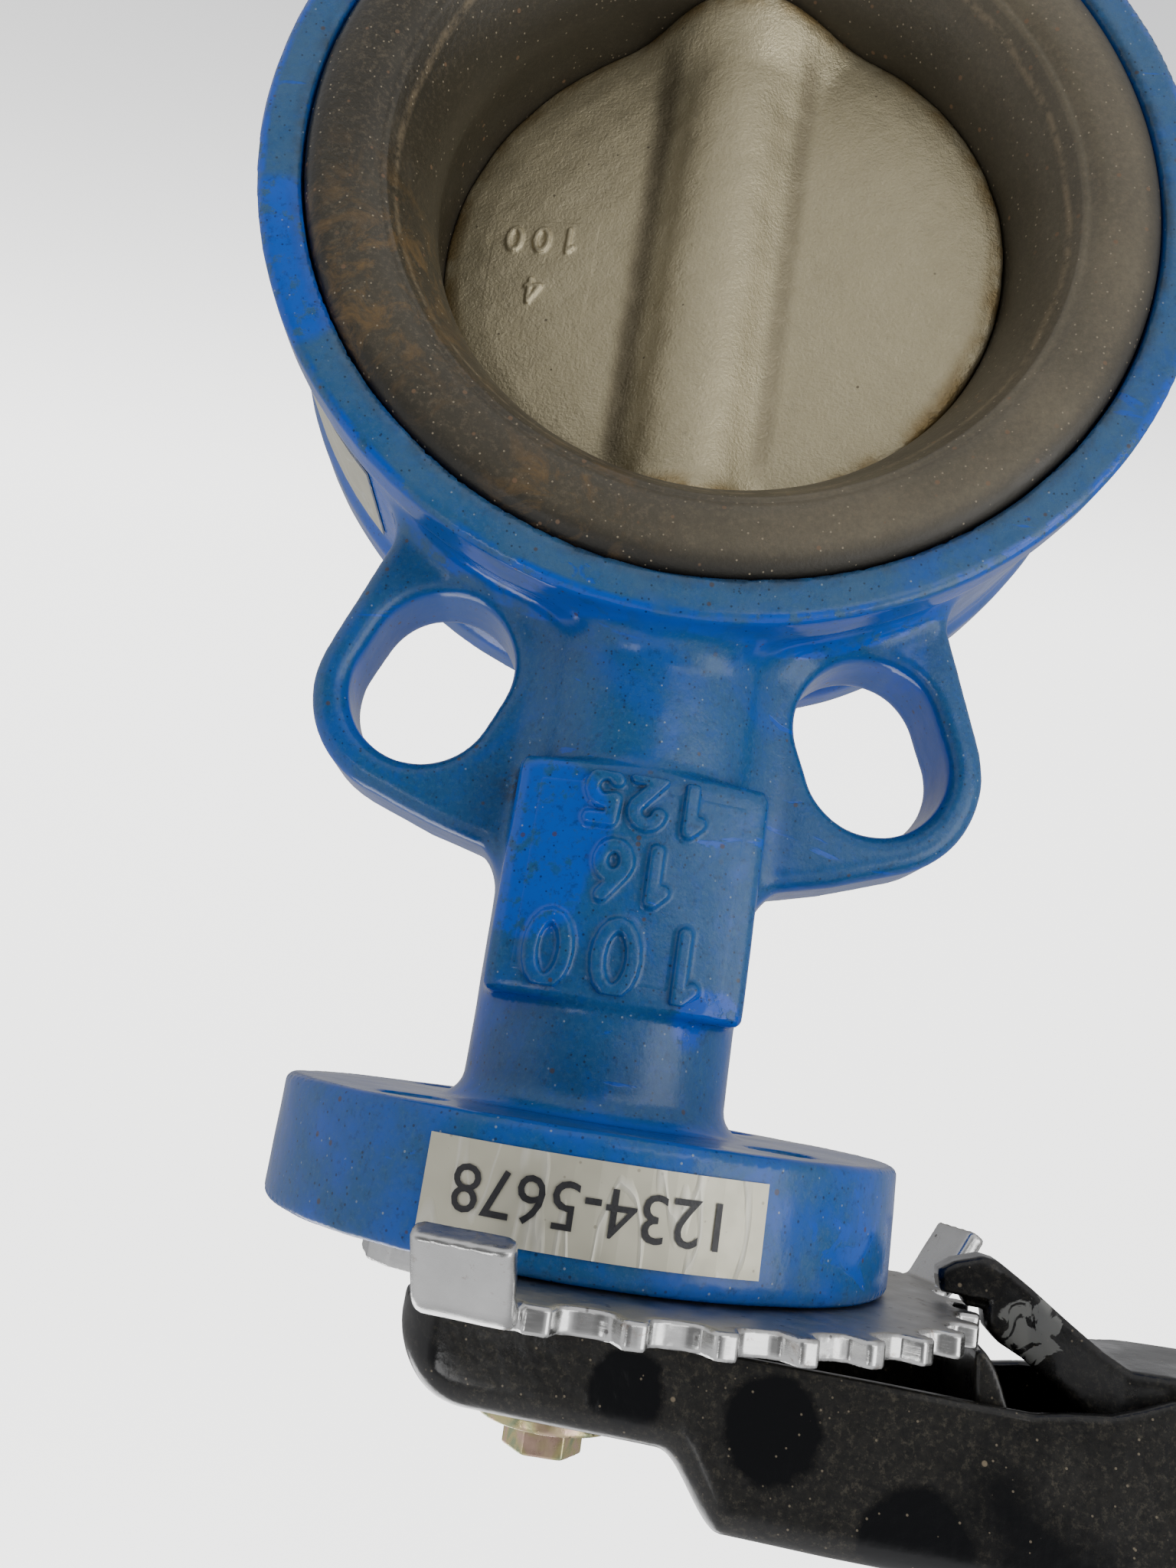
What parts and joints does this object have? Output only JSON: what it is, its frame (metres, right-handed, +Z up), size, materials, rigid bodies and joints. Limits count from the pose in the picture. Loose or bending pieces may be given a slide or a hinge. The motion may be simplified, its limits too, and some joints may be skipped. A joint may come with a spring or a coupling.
{
  "type": "butterfly valve",
  "caption": "Long-neck wafer butterfly valve with a rubber seat, a turning disc, a notched throttle plate and a squeeze-trigger lever.",
  "frame": {"origin": "centre of the bore, where the stem axis crosses the flow axis at mid-length of the body", "axes": "+Z up the stem towards the lever, +Y along the flow axis away from the pictured face, +X across the bore"},
  "size_m": [0.3138, 0.1105, 0.3046],
  "materials": {
    "blue_enamel": "glossy blue enamel, dusty in places",
    "seat_rubber": "dark grey moulded rubber, matt and dusty",
    "backing_resin": "phenolic backing ring",
    "cast_stainless": "warm grey cast face with a machined edge",
    "turned_stainless": "turned bar",
    "bushing_ptfe": "white bushing plastic",
    "seal_rubber": "black seal rubber",
    "bright_zinc": "bright zinc plate, tarnished brown in places",
    "yellow_zinc": "yellow passivated zinc",
    "black_enamel": "glossy black enamel",
    "spring_steel": "drawn spring wire",
    "label_foil": "creased foil label"
  },
  "bodies": {
    "valve": {"valve_body": "blue_enamel", "seat_liner": "seat_rubber", "seat_backing_ring": "backing_resin", "lower_neck_bushing": "bushing_ptfe", "neck_seal": "seal_rubber", "upper_neck_bushing": "bushing_ptfe", "top_seal": "seal_rubber", "thrust_washer": "bright_zinc", "retaining_ring": "spring_steel", "foot_bushing": "bushing_ptfe", "plug_gasket": "seal_rubber", "bottom_plug": "bright_zinc", "notch_plate": "bright_zinc", "plate_screw_front": "bright_zinc", "plate_screw_rear": "bright_zinc", "flange_label": "label_foil", "body_label": "label_foil"},
    "stem": {"disc": "cast_stainless", "upper_stem": "turned_stainless", "lower_stem": "turned_stainless", "lever_handle": "black_enamel", "lever_hub": "black_enamel", "latch_guide": "black_enamel", "handle_washer": "yellow_zinc", "handle_bolt": "yellow_zinc", "trigger_pin": "bright_zinc", "trigger_spring": "spring_steel"},
    "trigger": {"trigger": "black_enamel"}
  },
  "joints": [
    {"name": "stem_turn", "type": "hinge", "parent": "valve", "child": "stem", "pos_m": [0, 0, 0.1], "axis": [0, 0, 1], "range_deg": [-10, 80]},
    {"name": "trigger_squeeze", "type": "hinge", "parent": "stem", "child": "trigger", "pos_m": [-0.0906, -0.01598, 0.1765], "axis": [-0.1736, 0.9848, 0], "range_deg": [-2.2, 6.5], "stiffness_Nm_per_rad": 1.2, "springref_deg": -2.2, "deforming": ["trigger_spring"]}
  ]
}
